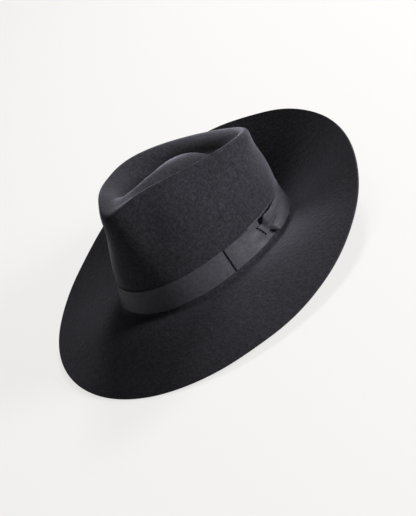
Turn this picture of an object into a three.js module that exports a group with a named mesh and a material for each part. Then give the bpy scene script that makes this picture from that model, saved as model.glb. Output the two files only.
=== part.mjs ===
// A wide-brim felt fedora with a teardrop crown, a ribbon band and a flat side bow.
// Millimetres, +Z up. The wearer faces -Y, so the bow is on +X. The hat rests as it does on a
// table: on the front of its brim and on the back of the crown's foot.
import * as THREE from "three";

// Felt body
const footLength = 201.4; // crown at the ribbon's lower edge, front to back
const footWidth = 167.4; // the same, side to side
const footSquareness = 2.15; // exponent of the head oval, 2 is an ellipse
const footSaddle = 2.4; // how much higher the foot is at the sides than its middle height
const crownHeight = 109; // ribbon's lower edge to the top of the side ridge
const feltThickness = 2;
const brimLength = 338.2; // rim, front to back, measured level with the foot
const brimWidth = 357; // rim, side to side
const brimShift = -5.9; // the rim's middle, ahead of the crown's middle
const rimLevel = 5.9; // mean height of the rim above the foot
const rimTilt = 53.3; // rise of the rim from the side to the back, and its drop to the front
const rimTwist = -3.7; // wave with two crests round the rim
const rimCurl = 1.55; // with three
const rimRipple = -1.4; // with four
const breakSink = 2.6; // how much lower the brim's sections lie than the line to the rim, at the break
const innerSink = 2.2; // a little further out
const quarterSink = 0.8; // and at a quarter of the way
const pinchDepth = 7; // hollow in each side of the crown's front
const pinchAngle = -52; // where it is, in degrees round the crown, 0 is the side, -90 the front
const pinchSpread = 20; // half width of the hollow, in degrees
const pinchHeight = 76; // height of its middle above the ribbon's lower edge
const pinchReach = 28; // half height of the hollow

// Ribbon and bow
const ribbonWidth = 24;
const ribbonThickness = 1;
const clearance = 0.3; // between two pieces
const leafLength = 48; // middle of the knot to the fold of a bow leaf
const leafGather = 0.24; // share of a leaf over which it narrows to the waist
const leafPuff = 2; // how far a leaf's outer layer stands off at its middle
const waistHeight = 9; // gathered height of the bow under its knot
const gatherDepth = 0.35; // depth of the pleats at the waist
const gatherCount = 3; // pleats across the waist
const knotWidth = 6; // along the band

// Flat worn into the felt where the hat rests
const restFlat = 0.5;

// Mesh steps
const stepsRound = 64;
const crownStep = 0.5; // in crown sections
const brimStep = 1; // in brim sections

const halfLength = footLength / 2;
const halfWidth = footWidth / 2;

// Crown sections from the middle of the dent over its crease and the ridge, then down the wall.
// width, front and back are shares of the foot's half width and half length, and the heights are
// shares of crownHeight. egg widens a section towards the back and points it at the front.
const crownSections = [
  { name: "centre", width: 0.0, front: -0.08, back: 0.08, egg: 0.0, highs: [0.89, 0.89, 0.89, 0.89] },
  { name: "floor", width: 0.31, front: 0.22, back: 0.42, egg: 0.2, highs: [0.925, 0.855, 0.81, 0.835] },
  { name: "crease", width: 0.49, front: 0.42, back: 0.54, egg: 0.32, highs: [0.93, 0.75, 0.63, 0.69] },
  { name: "dentWall", width: 0.6, front: 0.56, back: 0.6, egg: 0.37, highs: [0.94, 0.86, 0.73, 0.68] },
  { name: "lip", width: 0.693, front: 0.72, back: 0.67, egg: 0.37, highs: [0.94, 0.96, 0.9, 0.775] },
  { name: "crest", width: 0.76, front: 0.86, back: 0.85, egg: 0.45, highs: [0.945, 1.0, 0.95, 0.797] },
  { name: "shoulder", width: 0.798, front: 0.91, back: 0.93, egg: 0.42, highs: [0.905, 0.957, 0.905, 0.762] },
  { name: "upperWall", width: 0.832, front: 0.905, back: 0.957, egg: 0.14, highs: [0.77, 0.78, 0.74, 0.62] },
  { name: "middleWall", width: 0.922, front: 0.955, back: 1.0, egg: 0.08, highs: [0.48, 0.48, 0.47, 0.42] },
  { name: "lowerWall", width: 0.922, front: 0.965, back: 0.972, egg: 0.02, highs: [0.23, 0.23, 0.23, 0.23] },
  { name: "band", width: 0.97, front: 0.985, back: 0.985, egg: 0.0, highs: [0.1, 0.1, 0.1, 0.1] },
  { name: "foot", width: 1.0, front: 1.0, back: 1.0, egg: 0.0, highs: [0.0, 0.0, 0.0, 0.0] },
];
const crestSquareness = 2.0;

// Brim sections from the break at the foot out to the rim. out is the share of the way from the
// foot to the rim, bend the share of the rim's height that is reached there.
const brimSections = [
  { name: "break", out: 0.035, bend: 0.01, sink: breakSink },
  { name: "inner", out: 0.11, bend: 0.06, sink: innerSink },
  { name: "quarter", out: 0.28, bend: 0.22, sink: quarterSink },
  { name: "middle", out: 0.5, bend: 0.46, sink: 0 },
  { name: "outer", out: 0.72, bend: 0.7, sink: 0 },
  { name: "border", out: 0.9, bend: 0.89, sink: 0 },
  { name: "rim", out: 1.0, bend: 1.0, sink: 0 },
];

const power = (value, squareness) => Math.sign(value) * Math.abs(value) ** (2 / squareness);
const mix = (a, b, share) => a + (b - a) * share;
const bell = (offset) => Math.exp(-offset * offset);

// Height round a loop from its heights at the front, the front quarter, the side and the back.
function heightRound([front, quarter, side, back], s) {
  const even = (at) => side + ((back - front) / 2) * at + ((back + front) / 2 - side) * at * at;
  const lift = s < 0 ? 4 * s * s * (1 - s * s) : 0;
  return even(s) + (quarter - even(-Math.SQRT1_2)) * lift;
}

// A loop round the crown at angle t: 0 is the wearer's left, -90 degrees the front.
function crownLoop(section, index, t) {
  const c = Math.cos(t);
  const s = Math.sin(t);
  const share = Math.min(1, Math.max(0, (index - 5) / 5));
  const square = mix(crestSquareness, footSquareness, share);
  const middle = ((section.back - section.front) / 2) * halfLength;
  const reach = ((section.back + section.front) / 2) * halfLength;
  const high = heightRound(section.highs, s);
  const saddle = footSaddle * Math.cos(2 * t) * share;
  return new THREE.Vector3(
    section.width * halfWidth * power(c, square) * (1 + section.egg * s),
    middle + reach * power(s, square),
    high * crownHeight + saddle,
  );
}

// A loop round the brim at the same angles.
function brimLoop(section, t) {
  const s = Math.sin(t);
  const foot = crownLoop(crownSections.at(-1), crownSections.length - 1, t);
  const wave = rimTwist * Math.cos(2 * t) + rimCurl * Math.sin(3 * t) + rimRipple * Math.cos(4 * t);
  const rim = new THREE.Vector3(
    (brimWidth / 2) * Math.cos(t),
    brimShift + (brimLength / 2) * s,
    rimLevel + rimTilt * s + wave,
  );
  return new THREE.Vector3(
    mix(foot.x, rim.x, section.out),
    mix(foot.y, rim.y, section.out),
    mix(foot.z, rim.z, section.bend) - section.sink,
  );
}

// Control points of the meridian at angle t, with both ends doubled so that it reaches them.
function controlPoints(t) {
  const crown = crownSections.map((section, index) => crownLoop(section, index, t));
  const brim = brimSections.map((section) => brimLoop(section, t));
  // The meridians all meet at the centre section's point.
  const inside = crownLoop(crownSections[1], 1, t + Math.PI);
  crown[0].multiplyScalar(6).sub(inside).sub(crown[1]).divideScalar(4);
  const points = [...crown, ...brim];
  const beyond = points.at(-1).clone().multiplyScalar(2).sub(points.at(-2));
  return [inside, ...points, beyond];
}

// Uniform cubic B-spline through those points. u counts sections, 0 at the centre of the dent.
function splineAt(points, u) {
  const last = points.length - 3;
  const span = Math.min(Math.floor(u), last - 1);
  const f = u - span;
  const weights = [
    (1 - f) ** 3 / 6,
    (3 * f ** 3 - 6 * f ** 2 + 4) / 6,
    (-3 * f ** 3 + 3 * f ** 2 + 3 * f + 1) / 6,
    f ** 3 / 6,
  ];
  const point = new THREE.Vector3();
  weights.forEach((weight, i) => point.addScaledVector(points[span + i], weight));
  return point;
}
const lastU = crownSections.length + brimSections.length - 1;
const footU = crownSections.length - 1;

// Inward push of the two front pinches at a point of the crown.
function pinchAt(point, t, u) {
  if (u >= footU) return 0;
  const degrees = THREE.MathUtils.radToDeg(Math.atan2(Math.sin(t), Math.abs(Math.cos(t))));
  const round = bell((degrees - pinchAngle) / pinchSpread);
  const up = bell((point.z - pinchHeight) / pinchReach);
  const outside = THREE.MathUtils.smoothstep(u, 2.5, 4.5);
  return pinchDepth * round * up * outside;
}

// The felt's outer face.
function faceAt(t, u) {
  const point = splineAt(controlPoints(t), u);
  const push = pinchAt(point, t, u);
  const out = new THREE.Vector3(point.x, point.y * 0.6, 0).normalize();
  return point.addScaledVector(out, -push);
}

function normalAt(t, u) {
  if (u < 1e-6) return new THREE.Vector3(0, 0, 1);
  const step = 1e-3;
  const round = faceAt(t + step, u).sub(faceAt(t - step, u));
  const along = faceAt(t, Math.min(lastU, u + step)).sub(faceAt(t, Math.max(0, u - step)));
  return along.cross(round).normalize();
}

const angles = Array.from({ length: stepsRound }, (_, i) => (i / stepsRound) * 2 * Math.PI);

// A closed mesh from a grid that closes round each row: front face rows, then back face rows.
function solidFromRows(front, back, { openCentre = true } = {}) {
  const rows = [...front, ...[...back].reverse()];
  const positions = [];
  const index = [];
  const starts = [];
  for (const row of rows) {
    starts.push(positions.length / 3);
    for (const point of row) positions.push(point.x, point.y, point.z);
  }
  const joined = rows.map((row, r) => [r, (r + 1) % rows.length]);
  if (!openCentre) joined.pop();
  for (const [r, q] of joined) {
    const upper = rows[r].length;
    const lower = rows[q].length;
    const count = Math.max(upper, lower);
    for (let i = 0; i < count; i++) {
      const j = (i + 1) % count;
      if (upper === 1) index.push(starts[r], starts[q] + i, starts[q] + j);
      else if (lower === 1) index.push(starts[r] + i, starts[q], starts[r] + j);
      else {
        index.push(starts[r] + i, starts[q] + i, starts[r] + j);
        index.push(starts[r] + j, starts[q] + i, starts[q] + j);
      }
    }
  }
  const geometry = new THREE.BufferGeometry();
  geometry.setAttribute("position", new THREE.Float32BufferAttribute(positions, 3));
  geometry.setIndex(index);
  return geometry;
}

function feltGeometry() {
  const stations = [];
  for (let u = 0; u < footU + 2; u += crownStep) stations.push(u);
  for (let u = footU + 2; u <= lastU; u += brimStep) stations.push(u);
  const front = [];
  const back = [];
  for (const u of stations) {
    const around = u === 0 ? [0] : angles;
    front.push(around.map((t) => faceAt(t, u)));
    back.push(around.map((t) => faceAt(t, u).addScaledVector(normalAt(t, u), -feltThickness)));
  }
  return solidFromRows(front, back, { openCentre: false });
}

// Meridian of the crown's wall from the ribbon's lower edge upwards, as even small steps.
const ribbonStartU = footU - 0.05;
const traceStep = 0.05;
function wallTrace(t) {
  const trace = [{ u: ribbonStartU, length: 0 }];
  let before = faceAt(t, ribbonStartU);
  for (let u = ribbonStartU - traceStep; u > footU - 4; u -= traceStep) {
    const point = faceAt(t, u);
    trace.push({ u, length: trace.at(-1).length + point.distanceTo(before) });
    before = point;
  }
  return trace;
}

// Point on the band's outer side at angle t, up mm above its lower edge and off mm clear of it.
function wallPoint(t, up, off) {
  const trace = wallTrace(t);
  let k = 1;
  while (k < trace.length - 1 && trace[k].length < up) k++;
  const share = (up - trace[k - 1].length) / (trace[k].length - trace[k - 1].length);
  const u = mix(trace[k - 1].u, trace[k].u, share);
  return faceAt(t, u).addScaledVector(normalAt(t, u), off);
}

function bandGeometry() {
  const heights = [0, 1 / 3, 2 / 3, 1].map((share) => share * ribbonWidth);
  const inside = heights.map((up) => angles.map((t) => wallPoint(t, up, clearance)));
  const outside = heights.map((up) => angles.map((t) => wallPoint(t, up, clearance + ribbonThickness)));
  return solidFromRows([...outside].reverse(), [...inside].reverse());
}

// Angle round the crown at a distance along the band from the middle of the bow.
const bandFace = clearance + ribbonThickness;
const arcStep = THREE.MathUtils.degToRad(1);
const arcTable = [{ t: 0, length: 0 }];
for (let k = 1; k <= 60; k++) {
  const a = wallPoint((k - 1) * arcStep, ribbonWidth / 2, bandFace);
  const b = wallPoint(k * arcStep, ribbonWidth / 2, bandFace);
  arcTable.push({ t: k * arcStep, length: arcTable.at(-1).length + a.distanceTo(b) });
}
function angleAlong(along) {
  const distance = Math.abs(along);
  let k = 1;
  while (k < arcTable.length - 1 && arcTable[k].length < distance) k++;
  const low = arcTable[k - 1];
  const high = arcTable[k];
  return Math.sign(along) * mix(low.t, high.t, (distance - low.length) / (high.length - low.length));
}

// Ribbon of the given thickness round a grid of its middle face: rows along it, points across.
function ribbonSolid(place, stationCount, acrossCount, thickness) {
  const middle = [];
  for (let i = 0; i < stationCount; i++) {
    const share = i / (stationCount - 1);
    middle.push(Array.from({ length: acrossCount }, (_, j) => place(share, (2 * j) / (acrossCount - 1) - 1)));
  }
  const normal = (i, j) => {
    const along = middle[Math.min(i + 1, stationCount - 1)][j].clone().sub(middle[Math.max(i - 1, 0)][j]);
    const across = middle[i][Math.min(j + 1, acrossCount - 1)].clone().sub(middle[i][Math.max(j - 1, 0)]);
    return along.cross(across).normalize();
  };
  const rings = middle.map((row, i) => {
    const over = row.map((point, j) => point.clone().addScaledVector(normal(i, j), thickness / 2));
    const under = row.map((point, j) => point.clone().addScaledVector(normal(i, j), -thickness / 2));
    return [...over, ...under.reverse()];
  });
  const size = rings[0].length;
  const positions = rings.flat().flatMap((point) => [point.x, point.y, point.z]);
  const index = [];
  for (let i = 0; i < rings.length - 1; i++)
    for (let k = 0; k < size; k++) {
      const n = (k + 1) % size;
      index.push(i * size + k, (i + 1) * size + k, i * size + n);
      index.push(i * size + n, (i + 1) * size + k, (i + 1) * size + n);
    }
  const cap = (start, flip) => {
    for (let j = 0; j < acrossCount - 1; j++) {
      const quad = [start + j, start + j + 1, start + size - 2 - j, start + size - 1 - j];
      const order = flip ? [0, 2, 1, 0, 3, 2] : [0, 1, 2, 0, 2, 3];
      index.push(...order.map((o) => quad[o]));
    }
  };
  cap(0, false);
  cap((rings.length - 1) * size, true);
  const geometry = new THREE.BufferGeometry();
  geometry.setAttribute("position", new THREE.Float32BufferAttribute(positions, 3));
  geometry.setIndex(index);
  return geometry;
}

// One leaf of the bow: a flat loop of ribbon from the knot out to its fold and back under itself.
const innerOff = clearance + ribbonThickness / 2;
const outerOff = innerOff + ribbonThickness + clearance;
const leafStations = 25;
const leafAcross = 7;
const foldShare = 0.16;
function leafPlace(side) {
  const foldRadius = (outerOff - innerOff) / 2;
  const start = clearance;
  const straight = leafLength - foldRadius;
  return (share, v) => {
    const turn = (share - 0.5) / foldShare;
    let along;
    let layer;
    if (Math.abs(turn) < 0.5) {
      along = straight + foldRadius * Math.cos(turn * Math.PI);
      layer = (1 - Math.sin(turn * Math.PI)) / 2;
    } else {
      const way = Math.abs(share - 0.5) - foldShare / 2;
      along = mix(straight, start, way / (0.5 - foldShare / 2));
      layer = turn < 0 ? 1 : 0;
    }
    const open = THREE.MathUtils.smoothstep(along, knotWidth / 2, leafLength * leafGather);
    const height = mix(waistHeight, ribbonWidth - 0.6, open);
    const puff = leafPuff * Math.sin(Math.PI * Math.min(1, along / leafLength)) * layer;
    const wave = gatherDepth * (1 - open) * Math.cos(gatherCount * Math.PI * v) * layer;
    const edge = (1 - 0.35 * (1 - open) * v * v) * puff;
    const off = bandFace + mix(innerOff, outerOff, layer) + edge + wave + 0.15 * layer;
    const t = angleAlong(side * along);
    return wallPoint(t, ribbonWidth / 2 + (v * height) / 2, off);
  };
}

// The wrap over the waist: a strap that turns in to the band above and below the leaves.
const puffAtKnot = leafPuff * Math.sin((Math.PI * knotWidth) / 2 / leafLength);
const knotOff = outerOff + ribbonThickness + clearance + gatherDepth + puffAtKnot;
function knotPlace(share, v) {
  const round = (share - 0.5) * 2;
  const reach = waistHeight / 2 + clearance + ribbonThickness;
  const corner = 0.72;
  const up = Math.abs(round) < corner ? (round / corner) * reach : Math.sign(round) * reach;
  const drop = Math.max(0, (Math.abs(round) - corner) / (1 - corner));
  const soft = Math.max(0, Math.abs(round) - corner * 0.7) / (corner * 0.3);
  const off = mix(knotOff - 0.4 * Math.min(1, soft) ** 2, clearance + ribbonThickness * 0.2, drop);
  return wallPoint(angleAlong((v * knotWidth) / 2), ribbonWidth / 2 + up, bandFace + off);
}

const felt = new THREE.MeshStandardMaterial({ color: 0x1b1b1e, roughness: 0.95, metalness: 0 });
const ribbon = new THREE.MeshStandardMaterial({ color: 0x2a2a2e, roughness: 0.6, metalness: 0 });

const geometries = {
  felt_body: [feltGeometry(), felt],
  hatband: [bandGeometry(), ribbon],
  bow_front_leaf: [ribbonSolid(leafPlace(-1), leafStations, leafAcross, ribbonThickness), ribbon],
  bow_back_leaf: [ribbonSolid(leafPlace(1), leafStations, leafAcross, ribbonThickness), ribbon],
  bow_knot: [ribbonSolid(knotPlace, 17, 3, ribbonThickness), ribbon],
};

// Turns the hat back until the crown's foot meets the table behind, then sets it down.
function restTurn(geometry) {
  const position = geometry.getAttribute("position");
  const points = Array.from({ length: position.count }, (_, i) => [position.getY(i), position.getZ(i)]);
  const front = points.reduce((low, p) => (p[1] < low[1] ? p : low));
  const behind = points.filter((p) => p[0] > 0);
  const slopes = behind.map((p) => Math.atan2(p[1] - front[1], p[0] - front[0]));
  return -Math.min(...slopes);
}

const turn = restTurn(geometries.felt_body[0]);
for (const [geometry] of Object.values(geometries)) geometry.rotateX(turn);
const body = geometries.felt_body[0];
body.computeBoundingBox();
const centre = body.boundingBox.getCenter(new THREE.Vector3());
const floor = body.boundingBox.min.z + restFlat;
for (const [geometry] of Object.values(geometries)) geometry.translate(-centre.x, -centre.y, -floor);

// The felt lies flat on the table where it touches it.
const places = body.getAttribute("position");
for (let i = 0; i < places.count; i++) places.setZ(i, Math.max(0, places.getZ(i)));

const hat = new THREE.Group();
for (const [name, [geometry, material]] of Object.entries(geometries)) {
  const mesh = new THREE.Mesh(geometry, material);
  mesh.name = name;
  hat.add(mesh);
}

export default hat;
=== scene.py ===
import math

import bpy
import numpy as np
from mathutils import Matrix, Vector


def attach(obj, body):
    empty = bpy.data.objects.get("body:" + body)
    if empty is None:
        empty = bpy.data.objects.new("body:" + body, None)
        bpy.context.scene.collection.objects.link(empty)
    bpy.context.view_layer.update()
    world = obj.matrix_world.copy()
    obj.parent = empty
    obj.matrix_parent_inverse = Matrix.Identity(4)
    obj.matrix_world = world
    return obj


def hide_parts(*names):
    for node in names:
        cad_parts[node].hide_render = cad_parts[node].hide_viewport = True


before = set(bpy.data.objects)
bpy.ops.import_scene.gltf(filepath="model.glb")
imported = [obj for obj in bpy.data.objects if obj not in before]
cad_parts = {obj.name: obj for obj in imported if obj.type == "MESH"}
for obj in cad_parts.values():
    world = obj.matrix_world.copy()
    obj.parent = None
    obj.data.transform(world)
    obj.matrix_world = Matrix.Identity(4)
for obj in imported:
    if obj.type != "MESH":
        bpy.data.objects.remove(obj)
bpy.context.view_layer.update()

# Felt body, the sizes of the solid, in millimetres
FOOT_LENGTH = 201.4
FOOT_WIDTH = 167.4
FOOT_SQUARENESS = 2.15
FOOT_SADDLE = 2.4
CROWN_HEIGHT = 109.0
FELT_THICKNESS = 2.0
BRIM_LENGTH = 338.2
BRIM_WIDTH = 357.0
BRIM_SHIFT = -5.9
RIM_LEVEL = 5.9
RIM_TILT = 53.3
RIM_TWIST = -3.7
RIM_CURL = 1.55
RIM_RIPPLE = -1.4
PINCH_DEPTH = 7.0
PINCH_ANGLE = -52.0
PINCH_SPREAD = 20.0
PINCH_HEIGHT = 76.0
PINCH_REACH = 28.0
PINCH_FRONT_SHARE = 0.6
PINCH_SECTIONS = (2.5, 4.5)
REST_FLAT = 0.5

# Ribbon, thinner than the solid's walls, as the real one is
RIBBON_WIDTH = 24.0
RIBBON_THICKNESS = 0.6
CLEARANCE = 0.12
SELVEDGE_HEIGHT = 0.12
TOP_EDGE_STAND = 0.25

# Bow leaves: both, then what the back one and the front one have of their own
LEAF_LENGTH = 48.0
LEAF_GATHER = 0.2
LEAF_PUFF = 1.8
LEAF_EASE = 0.15
LEAF_EDGE_INSET = 0.3
WAIST_HEIGHT = 9.0
GATHER_DEPTH = 0.35
GATHER_COUNT = 3
PLEAT_DEPTH = 0.35
PLEAT_PACE = 6.5
FOLD_SHARE = 0.16
BACK_LEAF_RISE = 4.4
BACK_CREASE_DEPTH = 3.6
UPPER_LOBE_HEIGHT = 1.6
LOWER_LOBE_HEIGHT = 1.2
FRONT_LEAF_RISE = 2.2
FRONT_CREASE_DEPTH = 0.5

# Knot: where it turns in is a share of its half height
KNOT_WIDTH = 6.0
KNOT_SLANT = 0.42
KNOT_RISE = 0.9
KNOT_CORNER = 0.72
KNOT_CORNER_DROP = 0.4
KNOT_BULGE = 0.25

# width, front and back are shares of the foot's half width and half length, the heights, at the
# front, the front quarter, the side and the back, are shares of the crown's height
CROWN_COLUMNS = ("width", "front", "back", "egg", "high_front", "high_quarter", "high_side", "high_back")
CROWN_SECTIONS = {
    "centre": (0.0, -0.08, 0.08, 0.0, 0.89, 0.89, 0.89, 0.89),
    "floor": (0.31, 0.22, 0.42, 0.2, 0.925, 0.855, 0.81, 0.835),
    "crease": (0.49, 0.42, 0.54, 0.32, 0.93, 0.75, 0.63, 0.69),
    "dent_wall": (0.6, 0.56, 0.6, 0.37, 0.94, 0.86, 0.73, 0.68),
    "lip": (0.693, 0.72, 0.67, 0.37, 0.94, 0.96, 0.9, 0.775),
    "crest": (0.76, 0.86, 0.85, 0.45, 0.945, 1.0, 0.95, 0.797),
    "shoulder": (0.798, 0.91, 0.93, 0.42, 0.905, 0.957, 0.905, 0.762),
    "upper_wall": (0.832, 0.905, 0.957, 0.14, 0.77, 0.78, 0.74, 0.62),
    "middle_wall": (0.922, 0.955, 1.0, 0.08, 0.48, 0.48, 0.47, 0.42),
    "lower_wall": (0.922, 0.965, 0.972, 0.02, 0.23, 0.23, 0.23, 0.23),
    "band": (0.97, 0.985, 0.985, 0.0, 0.1, 0.1, 0.1, 0.1),
    "foot": (1.0, 1.0, 1.0, 0.0, 0.0, 0.0, 0.0, 0.0),
}
BRIM_COLUMNS = ("out", "bend", "sink")
BRIM_SECTIONS = {
    "break": (0.035, 0.01, 2.6),
    "inner": (0.11, 0.06, 2.2),
    "quarter": (0.28, 0.22, 0.8),
    "middle": (0.5, 0.46, 0.0),
    "outer": (0.72, 0.7, 0.0),
    "border": (0.9, 0.89, 0.0),
    "rim": (1.0, 1.0, 0.0),
}

half_length = FOOT_LENGTH / 2
half_width = FOOT_WIDTH / 2
crown_rows = [dict(zip(CROWN_COLUMNS, row)) for row in CROWN_SECTIONS.values()]
brim_rows = [dict(zip(BRIM_COLUMNS, row)) for row in BRIM_SECTIONS.values()]
last_u = len(crown_rows) + len(brim_rows) - 1
foot_u = len(crown_rows) - 1


def power(value, squareness):
    return np.sign(value) * np.abs(value) ** (2 / squareness)


def smooth(value, low, high):
    x = np.clip((value - low) / (high - low), 0, 1)
    return x * x * (3 - 2 * x)


def bell(offset):
    return np.exp(-offset * offset)


def unit(vectors):
    return vectors / np.maximum(np.linalg.norm(vectors, axis=-1, keepdims=True), 1e-12)


def height_round(row, s):
    front, quarter, side, back = (row["high_" + k] for k in ("front", "quarter", "side", "back"))

    def even(at):
        return side + (back - front) / 2 * at + ((back + front) / 2 - side) * at * at

    lift = np.where(s < 0, 4 * s * s * (1 - s * s), 0)
    return even(s) + (quarter - even(-math.sqrt(0.5))) * lift


def crown_loop(number, t):
    """A loop round the crown at angles t: 0 is the wearer's left, -90 degrees the front."""
    row = crown_rows[number]
    c, s = np.cos(t), np.sin(t)
    share = min(1, max(0, (number - 5) / 5))
    square = 2 + (FOOT_SQUARENESS - 2) * share
    middle = (row["back"] - row["front"]) / 2 * half_length
    reach = (row["back"] + row["front"]) / 2 * half_length
    return np.stack(
        [
            row["width"] * half_width * power(c, square) * (1 + row["egg"] * s),
            middle + reach * power(s, square),
            height_round(row, s) * CROWN_HEIGHT + FOOT_SADDLE * np.cos(2 * t) * share,
        ],
        -1,
    )


def brim_loop(row, t):
    s = np.sin(t)
    foot = crown_loop(foot_u, t)
    wave = RIM_TWIST * np.cos(2 * t) + RIM_CURL * np.sin(3 * t) + RIM_RIPPLE * np.cos(4 * t)
    rim = np.stack(
        [BRIM_WIDTH / 2 * np.cos(t), BRIM_SHIFT + BRIM_LENGTH / 2 * s, RIM_LEVEL + RIM_TILT * s + wave], -1
    )
    share = np.array([row["out"], row["out"], row["bend"]])
    return foot + (rim - foot) * share - np.array([0, 0, row["sink"]])


def smooth_face(t, u):
    """The felt's outer face, a cubic B-spline over the sections, u counted from the dent's centre."""
    t, u = np.broadcast_arrays(np.asarray(t, float), np.asarray(u, float))
    loops = [crown_loop(1, t + math.pi)]
    loops += [crown_loop(k, t) for k in range(len(crown_rows))]
    loops += [brim_loop(row, t) for row in brim_rows]
    loops.append(2 * loops[-1] - loops[-2])
    # The meridians all meet at the centre section's point
    loops[1] = (6 * loops[1] - loops[0] - loops[2]) / 4
    loops = np.stack(loops)
    span = np.minimum(np.floor(u).astype(int), last_u - 1)
    f = (u - span)[..., None]
    weights = (
        (1 - f) ** 3 / 6,
        (3 * f**3 - 6 * f**2 + 4) / 6,
        (-3 * f**3 + 3 * f**2 + 3 * f + 1) / 6,
        f**3 / 6,
    )
    point = 0
    for k, weight in enumerate(weights):
        take = np.take_along_axis(loops, (span + k)[None, ..., None], 0)[0]
        point = point + weight * take
    degrees = np.degrees(np.arctan2(np.sin(t), np.abs(np.cos(t))))
    push = PINCH_DEPTH * bell((degrees - PINCH_ANGLE) / PINCH_SPREAD)
    push = push * bell((point[..., 2] - PINCH_HEIGHT) / PINCH_REACH) * smooth(u, *PINCH_SECTIONS)
    push = np.where(u >= foot_u, 0, push)
    out = unit(np.stack([point[..., 0], point[..., 1] * PINCH_FRONT_SHARE, np.zeros_like(u)], -1))
    return point - out * push[..., None]


def normal_at(face, t, u):
    t, u = np.broadcast_arrays(np.asarray(t, float), np.asarray(u, float))
    step = 1e-3
    around = face(t + step, u) - face(t - step, u)
    along = face(t, np.minimum(last_u, u + step)) - face(t, np.maximum(0, u - step))
    normal = unit(np.cross(along, around))
    normal[u < 1e-6] = (0, 0, 1)
    return normal


# Rest on the table: the turn and the shift of the solid, worked out on the solid's own grid
SOLID_STEPS_ROUND = 64
SOLID_SECTION_STEP = 0.5


def rest_placement():
    t = np.arange(SOLID_STEPS_ROUND) / SOLID_STEPS_ROUND * 2 * math.pi
    fine_count = int((foot_u + 2) / SOLID_SECTION_STEP)
    stations = [k * SOLID_SECTION_STEP for k in range(fine_count)] + list(range(foot_u + 2, last_u + 1))
    grid_u, grid_t = np.meshgrid(stations, t, indexing="ij")
    over = smooth_face(grid_t, grid_u)
    under = over - normal_at(smooth_face, grid_t, grid_u) * FELT_THICKNESS
    points = np.concatenate([over.reshape(-1, 3), under.reshape(-1, 3)])
    front = points[np.argmin(points[:, 2])]
    behind = points[points[:, 1] > 0]
    turn = -np.min(np.arctan2(behind[:, 2] - front[2], behind[:, 1] - front[1]))
    turned = points @ turn_matrix(turn).T
    low, high = turned.min(0), turned.max(0)
    return turn, np.array([(low[0] + high[0]) / 2, (low[1] + high[1]) / 2, low[2] + REST_FLAT])


def turn_matrix(angle):
    c, s = math.cos(angle), math.sin(angle)
    return np.array([[1, 0, 0], [0, c, -s], [0, s, c]])


rest_turn, rest_shift = rest_placement()
rest_matrix = turn_matrix(rest_turn)


def to_rest(points):
    """From the crown foot's frame in millimetres to the row frame in metres."""
    return (points @ rest_matrix.T - rest_shift) / 1000


# Handling marks of the blocked felt: angle and section of the middle, spread in degrees, reach in
# sections and height in millimetres
MARK_COLUMNS = ("angle", "section", "spread", "reach", "high")
MARKS = {
    "side_bulge": (-46, 7.4, 13, 0.9, 3.0),
    "side_hollow": (-16, 6.4, 15, 0.7, -4.0),
    "back_hollow": (128, 7.3, 16, 0.9, -0.9),
    "right_bulge": (205, 7.6, 15, 0.9, 0.8),
    "front_hollow": (-92, 8.2, 12, 0.8, -0.7),
}
marks = [dict(zip(MARK_COLUMNS, row)) for row in MARKS.values()]

# Waves of the wall and of the brim: height in millimetres, waves round, turn by section and phase
WALL_WAVES = ((0.22, 3, 1.3, 0.0), (0.16, 7, -1.1, 1.0))
BRIM_WAVES = ((0.45, 5, 0.0, 0.6), (0.3, 9, 0.0, 2.1), (0.2, 14, 0.0, 0.0))


def waves(table, t, u):
    return sum(high * np.sin(count * t + turn * u + phase) for high, count, turn, phase in table)


def felt_face(t, u):
    """The face of the solid with the small unevenness of blocked felt."""
    point = smooth_face(t, u)
    t, u = np.broadcast_arrays(np.asarray(t, float), np.asarray(u, float))
    out = unit(np.stack([point[..., 0], point[..., 1], 0 * u], -1))
    lift = 0
    for mark in marks:
        away = np.angle(np.exp(1j * (t - math.radians(mark["angle"]))))
        round_ = bell(np.degrees(away) / mark["spread"])
        lift = lift + mark["high"] * round_ * bell((u - mark["section"]) / mark["reach"])
    # The wall is uneven from the shoulder down to the ribbon's upper edge
    wall = smooth(u, 4.6, 6.2) * (1 - smooth(u, 8.4, 9.2))
    point = point + out * ((lift + waves(WALL_WAVES, t, u)) * wall)[..., None]
    # The brim is uneven towards its rim, but not at the front, where it lies on the floor
    brim = smooth(u, foot_u + 2, foot_u + 5) * smooth(np.sin(t), -0.93, -0.6)
    point[..., 2] += brim * waves(BRIM_WAVES, t, u)
    return point


def make_mesh(name, vertices, faces, uvs=None):
    mesh = bpy.data.meshes.new(name)
    mesh.from_pydata([tuple(v) for v in vertices], [], faces)
    if uvs is not None:
        layer = mesh.uv_layers.new(name="ribbon")
        loops = np.empty(len(mesh.loops), dtype=np.int64)
        mesh.loops.foreach_get("vertex_index", loops)
        layer.data.foreach_set("uv", np.asarray(uvs, dtype=np.float32)[loops].ravel())
    mesh.polygons.foreach_set("use_smooth", [True] * len(mesh.polygons))
    mesh.update()
    piece = bpy.data.objects.new(name, mesh)
    bpy.context.scene.collection.objects.link(piece)
    return piece


def ring_faces(rows, count, closed_rows):
    """Quads between rows of count vertices that close round."""
    faces = []
    pairs = [(r, r + 1) for r in range(rows - 1)]
    if closed_rows:
        pairs.append((rows - 1, 0))
    for r, q in pairs:
        for i in range(count):
            j = (i + 1) % count
            faces.append((r * count + i, q * count + i, q * count + j, r * count + j))
    return faces


# Felt body: stretches of sections with their step, finer where the felt bends more
FELT_STEPS_ROUND = 240
FELT_STEPS = ((0.12, 3.5, 0.12), (3.5, 6.5, 0.075), (6.5, 9.5, 0.15), (9.5, 12.5, 0.1), (12.5, last_u, 0.16))
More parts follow.
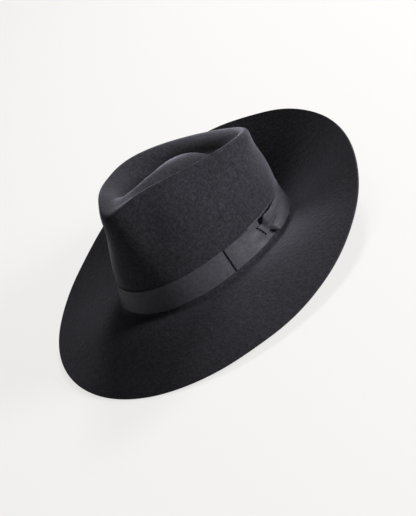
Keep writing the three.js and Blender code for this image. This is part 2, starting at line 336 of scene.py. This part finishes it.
# Rounding of the cut edge: share of the way from the upper to the lower face, and millimetres in
EDGE_ROUNDING = ((0.04, 0.16), (0.14, 0.04), (0.3, 0.0), (0.7, 0.0), (0.86, 0.04), (0.96, 0.16))
FACE_INSET = 0.35


def felt_body():
    t = np.arange(FELT_STEPS_ROUND) / FELT_STEPS_ROUND * 2 * math.pi
    u = np.concatenate([np.arange(low, high, step) for low, high, step in FELT_STEPS] + [[last_u]])
    grid_u, grid_t = np.meshgrid(u, t, indexing="ij")
    over = felt_face(grid_t, grid_u)
    under = over - normal_at(felt_face, grid_t, grid_u) * FELT_THICKNESS
    rim_over, rim_under = over[-1], under[-1]
    rim_out = unit(rim_over - over[-2])
    edge_rows = [
        rim_over + (rim_under - rim_over) * share - rim_out * inset for share, inset in EDGE_ROUNDING
    ]
    over[-1] -= rim_out * FACE_INSET
    under[-1] -= rim_out * FACE_INSET
    rows = np.concatenate([over, np.array(edge_rows), under[::-1]])
    top = felt_face(np.zeros(1), np.zeros(1))
    bottom = top - np.array([[0, 0, FELT_THICKNESS]])
    vertices = to_rest(np.concatenate([rows.reshape(-1, 3), top, bottom]))
    # The felt is flattened where it lies on the floor
    vertices[:, 2] = np.maximum(vertices[:, 2], 0)
    faces = ring_faces(len(rows), FELT_STEPS_ROUND, False)
    top_number, bottom_number = len(vertices) - 2, len(vertices) - 1
    last_row = (len(rows) - 1) * FELT_STEPS_ROUND
    for i in range(FELT_STEPS_ROUND):
        j = (i + 1) % FELT_STEPS_ROUND
        faces.append((top_number, i, j))
        faces.append((bottom_number, last_row + j, last_row + i))
    return make_mesh("felt_shell", vertices, faces)


felt_piece = felt_body()

# Heights up the crown's wall from the ribbon's lower edge, tabled round the crown
WALL_ANGLES = 720
WALL_SECTIONS = 3.9
WALL_SECTION_STEP = 0.05
TABLE_HEIGHT = 34.0
TABLE_STEP = 0.5
wall_t = np.arange(WALL_ANGLES) / WALL_ANGLES * 2 * math.pi
wall_u = foot_u - WALL_SECTION_STEP - np.arange(0, WALL_SECTIONS, WALL_SECTION_STEP)
wall_grid_u, wall_grid_t = np.meshgrid(wall_u, wall_t, indexing="xy")
wall_points = smooth_face(wall_grid_t, wall_grid_u)
wall_length = np.concatenate(
    [np.zeros((WALL_ANGLES, 1)), np.cumsum(np.linalg.norm(np.diff(wall_points, axis=1), axis=2), 1)], 1
)
table_up = np.linspace(0, TABLE_HEIGHT, round(TABLE_HEIGHT / TABLE_STEP) + 1)
table_u = np.array([np.interp(table_up, wall_length[k], wall_u) for k in range(WALL_ANGLES)])
table_u = np.vstack([table_u, table_u[:1]])


def wall_point(t, up, off):
    """Point at angle t, up mm above the ribbon's lower edge and off mm clear of the felt."""
    t, up, off = np.broadcast_arrays(np.asarray(t, float), np.asarray(up, float), np.asarray(off, float))
    at = (t % (2 * math.pi)) / (2 * math.pi) * WALL_ANGLES
    i = np.minimum(at.astype(int), WALL_ANGLES - 1)
    fi = at - i
    height = np.clip(up, 0, TABLE_HEIGHT - 0.01) / TABLE_STEP
    j = height.astype(int)
    fj = height - j
    here = table_u[i, j] * (1 - fj) + table_u[i, j + 1] * fj
    beside = table_u[i + 1, j] * (1 - fj) + table_u[i + 1, j + 1] * fj
    u = here * (1 - fi) + beside * fi
    point = smooth_face(t, u)
    down = np.minimum(up, 0)[..., None] * np.array([0, 0, 1.0])
    return point + normal_at(smooth_face, t, u) * off[..., None] + down


# Hatband, its outer face this far off the felt
band_face = CLEARANCE + RIBBON_THICKNESS
BAND_STEPS = 480
t_band = np.arange(BAND_STEPS) / BAND_STEPS * 2 * math.pi
middle_of_band = wall_point(t_band, RIBBON_WIDTH / 2, band_face)
band_run = np.concatenate(
    [[0], np.cumsum(np.linalg.norm(np.roll(middle_of_band, -1, 0) - middle_of_band, axis=1))]
)
# Rounded section of the ribbon: height share and thickness share
band_section = [(0, 0.25), (0.006, 0.75), (0.02, 1)]
band_section += [(share, 1) for share in np.linspace(0.06, 0.94, 12)]
band_section += [(0.98, 1), (0.994, 0.75), (1, 0.25), (0.99, 0)]
band_section += [(share, 0) for share in np.linspace(0.9, 0.1, 7)] + [(0.01, 0)]
band_rows, band_uv = [], []
for share, layer in band_section:
    stand = TOP_EDGE_STAND * smooth(share, 0.8, 1) * (0.6 + 0.4 * np.sin(4 * t_band + 0.5))
    selvedge = SELVEDGE_HEIGHT * (bell((share - 0.03) / 0.02) + bell((share - 0.97) / 0.02)) * layer
    off = CLEARANCE + RIBBON_THICKNESS * layer + (stand + selvedge) * layer
    band_rows.append(wall_point(t_band, share * RIBBON_WIDTH, off))
    band_uv.append(np.stack([band_run[:-1] / 1000, np.full(BAND_STEPS, share * RIBBON_WIDTH / 1000)], 1))
band_rows = np.array(band_rows)
band_piece = make_mesh(
    "ribbon_band",
    to_rest(band_rows.reshape(-1, 3)),
    [face[::-1] for face in ring_faces(len(band_rows), BAND_STEPS, True)],
    np.concatenate(band_uv),
)

# Angle round the crown at a distance along the band from the middle of the bow, tabled by degree
BOW_REACH_DEGREES = 60
arc_t = np.radians(np.arange(BOW_REACH_DEGREES + 1))
arc_points = wall_point(arc_t, RIBBON_WIDTH / 2, band_face)
arc_run = np.concatenate([[0], np.cumsum(np.linalg.norm(np.diff(arc_points, axis=0), axis=1))])


def angle_along(along):
    return np.sign(along) * np.interp(np.abs(along), arc_run, arc_t)


def ribbon_solid(name, middle, thickness, uv):
    """A ribbon of the given thickness round a grid of its middle face, with rounded edges."""
    along = np.gradient(middle, axis=0)
    across = np.gradient(middle, axis=1)
    normal = unit(np.cross(along, across))
    edge = np.ones(middle.shape[1])
    edge[[0, -1]] = 0.45
    over_face = middle + normal * (thickness / 2) * edge[None, :, None]
    under_face = middle - normal * (thickness / 2) * edge[None, :, None]
    rings = np.concatenate([over_face, under_face[:, ::-1]], 1)
    ring_uv = np.concatenate([uv, uv[:, ::-1]], 1)
    count, size = rings.shape[:2]
    faces = []
    for i in range(count - 1):
        for k in range(size):
            n = (k + 1) % size
            faces.append((i * size + k, (i + 1) * size + k, (i + 1) * size + n, i * size + n))
    across_count = middle.shape[1]
    for start, flip in ((0, False), ((count - 1) * size, True)):
        for j in range(across_count - 1):
            quad = (start + j, start + j + 1, start + size - 2 - j, start + size - 1 - j)
            faces.append(quad[::-1] if flip else quad)
    return make_mesh(name, to_rest(rings.reshape(-1, 3)), faces, ring_uv.reshape(-1, 2))


# Bow: how far the middles of a leaf's two layers lie off the band
inner_off = CLEARANCE + RIBBON_THICKNESS / 2
outer_off = inner_off + RIBBON_THICKNESS + CLEARANCE


def back_leaf_folds(reach, v):
    """One deep crease between two lobes, reach from the knot to the fold and v across."""
    crease = bell((v + 0.1 - 0.3 * reach) / 0.2)
    crease = crease * smooth(reach, 0.08, 0.2) * (1 - smooth(reach, 0.75, 0.99))
    upper_lobe = bell((v - 0.62) / 0.26) * bell((reach - 0.6) / 0.22)
    lower_lobe = bell((v + 0.6) / 0.3) * bell((reach - 0.45) / 0.2)
    return UPPER_LOBE_HEIGHT * upper_lobe + LOWER_LOBE_HEIGHT * lower_lobe - BACK_CREASE_DEPTH * crease


def front_leaf_folds(reach, v):
    """One short crease from the knot."""
    crease = bell((v + 0.35 + 0.3 * reach) / 0.15)
    return -FRONT_CREASE_DEPTH * crease * smooth(reach, 0.07, 0.14) * (1 - smooth(reach, 0.2, 0.4))


def leaf(name, side, rise, folds, stations=141, across=33):
    """A bow leaf: ribbon from the knot out to its fold and back under itself, side 1 to the back."""
    fold_radius = (outer_off - inner_off) / 2
    straight = LEAF_LENGTH - fold_radius
    share, v = np.meshgrid(np.linspace(0, 1, stations), np.linspace(-1, 1, across), indexing="ij")
    turn = (share - 0.5) / FOLD_SHARE
    folded = np.abs(turn) < 0.5
    way = np.abs(share - 0.5) - FOLD_SHARE / 2
    flat_along = straight + (CLEARANCE - straight) * way / (0.5 - FOLD_SHARE / 2)
    along = np.where(folded, straight + fold_radius * np.cos(turn * math.pi), flat_along)
    layer = np.where(folded, (1 - np.sin(turn * math.pi)) / 2, np.where(turn < 0, 1, 0))
    opened = smooth(along, KNOT_WIDTH / 2, LEAF_LENGTH * LEAF_GATHER)
    height = WAIST_HEIGHT + (RIBBON_WIDTH - 2 * LEAF_EDGE_INSET - WAIST_HEIGHT) * opened
    reach = np.clip(along / LEAF_LENGTH, 0, 1)
    puff = LEAF_PUFF * np.sin(math.pi * reach) * (1 - 0.35 * (1 - opened) * v * v)
    gather = GATHER_DEPTH * (1 - opened) * np.cos(GATHER_COUNT * math.pi * v)
    # The gathered ribbon stands up beside the knot, and short pleats run out from it
    risen = rise * smooth(along, KNOT_WIDTH / 2 + 0.4, 9) * (1 - smooth(along, 12, 34))
    pleats = PLEAT_DEPTH * smooth(reach, 0.06, 0.15) * (1 - smooth(reach, 0.15, 0.42))
    pleats = pleats * np.cos(PLEAT_PACE * v + 0.4 * side)
    flat_off = band_face + inner_off + (outer_off - inner_off) * layer
    stand = (puff + gather + LEAF_EASE + risen + pleats + folds(reach, v)) * layer
    off = flat_off + np.maximum(0, stand)
    up = v * height / 2
    slant = KNOT_SLANT * up * (1 - smooth(along, 2, 26))
    t = angle_along(side * along - slant)
    middle = wall_point(t, RIBBON_WIDTH / 2 + up, off)
    uv = np.stack([along / 1000 + layer * 0.1, v * RIBBON_WIDTH / 2000], -1)
    if side < 0:
        middle, uv = middle[:, ::-1], uv[:, ::-1]
    return ribbon_solid(name, middle, RIBBON_THICKNESS, uv)


def knot(name, stations=73, across=17):
    """The wrap over the waist, turned in to the band above and below the leaves."""
    knot_off = outer_off + RIBBON_THICKNESS + CLEARANCE + GATHER_DEPTH + KNOT_RISE
    round_, v = np.meshgrid(np.linspace(-1, 1, stations), np.linspace(-1, 1, across), indexing="ij")
    reach = WAIST_HEIGHT / 2 + CLEARANCE + RIBBON_THICKNESS
    away = np.abs(round_)
    up = np.where(away < KNOT_CORNER, round_ / KNOT_CORNER * reach, np.sign(round_) * reach)
    drop = np.maximum(0, (away - KNOT_CORNER) / (1 - KNOT_CORNER))
    soft = np.maximum(0, away - KNOT_CORNER * 0.7) / (KNOT_CORNER * 0.3)
    high = knot_off - KNOT_CORNER_DROP * np.minimum(1, soft) ** 2
    off = high + (CLEARANCE + RIBBON_THICKNESS * 0.2 - high) * drop
    bulge = KNOT_BULGE * (1 - v * v) * (1 - drop)
    t = angle_along(v * KNOT_WIDTH / 2 * (1 - 0.1 * bell(round_ / 0.4)) - KNOT_SLANT * up)
    middle = wall_point(t, RIBBON_WIDTH / 2 + up, band_face + off + bulge)
    uv = np.stack([v * KNOT_WIDTH / 2000, up / 1000], -1)
    return ribbon_solid(name, middle, RIBBON_THICKNESS, uv)


front_leaf = leaf("ribbon_leaf_front", -1, FRONT_LEAF_RISE, front_leaf_folds)
back_leaf = leaf("ribbon_leaf_back", 1, BACK_LEAF_RISE, back_leaf_folds)
knot_piece = knot("ribbon_knot")


# Parts that both materials use
def new_material(name):
    material = bpy.data.materials.new(name)
    material.use_nodes = True
    return material, material.node_tree, material.node_tree.nodes["Principled BSDF"]


def noise(tree, scale, detail, roughness):
    place = tree.nodes.new("ShaderNodeTexCoord")
    node = tree.nodes.new("ShaderNodeTexNoise")
    node.inputs["Scale"].default_value = scale
    node.inputs["Detail"].default_value = detail
    node.inputs["Roughness"].default_value = roughness
    tree.links.new(place.outputs["Object"], node.inputs["Vector"])
    return node.outputs["Fac"]


def spread(tree, value, dark, light):
    """A noise's usual values, 0.3 to 0.7, spread from dark to light."""
    node = tree.nodes.new("ShaderNodeMapRange")
    node.inputs["From Min"].default_value = 0.3
    node.inputs["From Max"].default_value = 0.7
    node.inputs["To Min"].default_value = dark
    node.inputs["To Max"].default_value = light
    tree.links.new(value, node.inputs["Value"])
    return node.outputs["Result"]


def times(tree, a, b):
    node = tree.nodes.new("ShaderNodeMath")
    node.operation = "MULTIPLY"
    tree.links.new(a, node.inputs[0])
    tree.links.new(b, node.inputs[1])
    return node.outputs[0]


def shaded(tree, colour, shade):
    node = tree.nodes.new("ShaderNodeMix")
    node.data_type = "RGBA"
    node.blend_type = "MULTIPLY"
    node.inputs["Factor"].default_value = 1.0
    node.inputs["A"].default_value = (*colour, 1)
    tree.links.new(shade, node.inputs["B"])
    return node.outputs["Result"]


def bumped(tree, height, strength, distance, under=None):
    """A bump, distance in metres, laid over another bump where one is given."""
    node = tree.nodes.new("ShaderNodeBump")
    node.inputs["Strength"].default_value = strength
    node.inputs["Distance"].default_value = distance
    tree.links.new(height, node.inputs["Height"])
    if under is not None:
        tree.links.new(under, node.inputs["Normal"])
    return node.outputs["Normal"]


# Materials
def felt_material():
    material, tree, shader = new_material("black_felt")
    nap = noise(tree, 430, 3, 0.6)
    mottle = noise(tree, 200, 3, 0.6)
    cloud = noise(tree, 22, 2, 0.5)
    shade = times(tree, spread(tree, nap, 0.3, 1.7), spread(tree, mottle, 0.7, 1.3))
    shade = times(tree, shade, spread(tree, cloud, 0.92, 1.08))
    tree.links.new(shaded(tree, (0.0104, 0.0099, 0.0135), shade), shader.inputs["Base Color"])
    shader.inputs["Roughness"].default_value = 0.92
    shader.inputs["Specular IOR Level"].default_value = 0.25
    shader.inputs["Sheen Weight"].default_value = 0.36
    shader.inputs["Sheen Roughness"].default_value = 0.36
    shader.inputs["Sheen Tint"].default_value = (0.54, 0.53, 0.65, 1)
    fine = bumped(tree, nap, 0.5, 0.0004)
    tree.links.new(bumped(tree, mottle, 0.35, 0.0012, fine), shader.inputs["Normal"])
    return material


def ribbon_material():
    material, tree, shader = new_material("black_ribbon")
    # Fine ribs across the ribbon, along its flat length in metres
    place = tree.nodes.new("ShaderNodeUVMap")
    place.uv_map = "ribbon"
    ribs = tree.nodes.new("ShaderNodeTexWave")
    ribs.wave_type = "BANDS"
    ribs.bands_direction = "X"
    ribs.inputs["Scale"].default_value = 330
    ribs.inputs["Distortion"].default_value = 0.4
    ribs.inputs["Detail"].default_value = 1.0
    tree.links.new(place.outputs["UV"], ribs.inputs["Vector"])
    cloud = noise(tree, 300, 3, 0.5)
    shade = spread(tree, cloud, 0.85, 1.15)
    tree.links.new(shaded(tree, (0.041, 0.04, 0.047), shade), shader.inputs["Base Color"])
    shader.inputs["Roughness"].default_value = 0.38
    shader.inputs["Specular IOR Level"].default_value = 0.05
    fine = bumped(tree, ribs.outputs["Fac"], 0.4, 0.00012)
    tree.links.new(bumped(tree, cloud, 0.25, 0.0008, fine), shader.inputs["Normal"])
    return material


felt_look = felt_material()
ribbon_look = ribbon_material()
dressing = (
    (felt_piece, "felt_body", felt_look, "felt"),
    (band_piece, "hatband", ribbon_look, "ribbon"),
    (front_leaf, "bow_front_leaf", ribbon_look, "ribbon"),
    (back_leaf, "bow_back_leaf", ribbon_look, "ribbon"),
    (knot_piece, "bow_knot", ribbon_look, "ribbon"),
)
for piece, node, look, slot in dressing:
    piece.data.materials.append(look)
    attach(piece, "root")
    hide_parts(node)

# Floor, its reach in metres
FLOOR_REACH = 20.0
floor_mesh = bpy.data.meshes.new("floor")
floor_corners = [(x * FLOOR_REACH, y * FLOOR_REACH, 0) for x, y in ((-1, -1), (1, -1), (1, 1), (-1, 1))]
floor_mesh.from_pydata(floor_corners, [], [(0, 1, 2, 3)])
floor = bpy.data.objects.new("floor", floor_mesh)
bpy.context.scene.collection.objects.link(floor)
floor_look, _, floor_shader = new_material("floor")
floor_shader.inputs["Base Color"].default_value = (0.19, 0.1885, 0.186, 1)
floor_shader.inputs["Emission Color"].default_value = (1, 0.99, 0.975, 1)
floor_shader.inputs["Emission Strength"].default_value = 0.73
floor_shader.inputs["Roughness"].default_value = 0.9
floor_shader.inputs["Specular IOR Level"].default_value = 0.1
floor_mesh.materials.append(floor_look)

# Camera, measured in the frame of the crown's foot: degrees, millimetres and pixels
VIEW_AZIMUTH = 47.69
VIEW_ELEVATION = 21.94
VIEW_ROLL = -28.71
VIEW_DISTANCE = 1669.0
VIEW_ASIDE = -1.03
VIEW_UP = 6.58
PIXELS_PER_MM = 1.0271
IMAGE_LONG_SIDE = 516
SENSOR_WIDTH = 36

azimuth, elevation, roll = (math.radians(a) for a in (VIEW_AZIMUTH, VIEW_ELEVATION, VIEW_ROLL))
back = np.array(
    [math.sin(azimuth) * math.cos(elevation), -math.cos(azimuth) * math.cos(elevation), math.sin(elevation)]
)
level = np.array([math.cos(azimuth), math.sin(azimuth), 0])
upright = np.cross(back, level)
right = math.cos(roll) * level + math.sin(roll) * upright
up = -math.sin(roll) * level + math.cos(roll) * upright
eye = to_rest(back * VIEW_DISTANCE - VIEW_ASIDE * right - VIEW_UP * up)
right, up, back = (rest_matrix @ v for v in (right, up, back))
camera_data = bpy.data.cameras.new("camera")
camera_data.sensor_width = SENSOR_WIDTH
camera_data.lens = PIXELS_PER_MM * VIEW_DISTANCE * SENSOR_WIDTH / IMAGE_LONG_SIDE
camera_data.clip_end = 50
camera = bpy.data.objects.new("camera", camera_data)
camera.matrix_world = Matrix([[right[k], up[k], back[k], eye[k]] for k in range(3)] + [[0, 0, 0, 1]])
bpy.context.scene.collection.objects.link(camera)
bpy.context.scene.camera = camera


# Lights: place and size in metres, power in watts, aimed at the middle of the hat
def area_light(name, place, size, power_watts, aim=(0, 0, 0.06)):
    data = bpy.data.lights.new(name, "AREA")
    data.shape = "DISK"
    data.size = size
    data.energy = power_watts
    light = bpy.data.objects.new(name, data)
    light.location = place
    light.rotation_mode = "QUATERNION"
    light.rotation_quaternion = (Vector(aim) - Vector(place)).to_track_quat("-Z", "Y")
    bpy.context.scene.collection.objects.link(light)


area_light("side_panel", (1.64, 0.66, 0.42), 0.7, 60)
area_light("back_light", (-0.1, 1.3, 1.2), 0.4, 18)
area_light("overhead", (-0.2, 0.7, 1.7), 1.0, 6)
area_light("left_edge", (-0.9, 1.6, 0.4), 0.4, 2)

world = bpy.data.worlds.new("studio")
bpy.context.scene.world = world
world.use_nodes = True
world.node_tree.nodes["Background"].inputs["Color"].default_value = (1, 1, 1, 1)
world.node_tree.nodes["Background"].inputs["Strength"].default_value = 0.05
bpy.context.scene.view_settings.view_transform = "Standard"
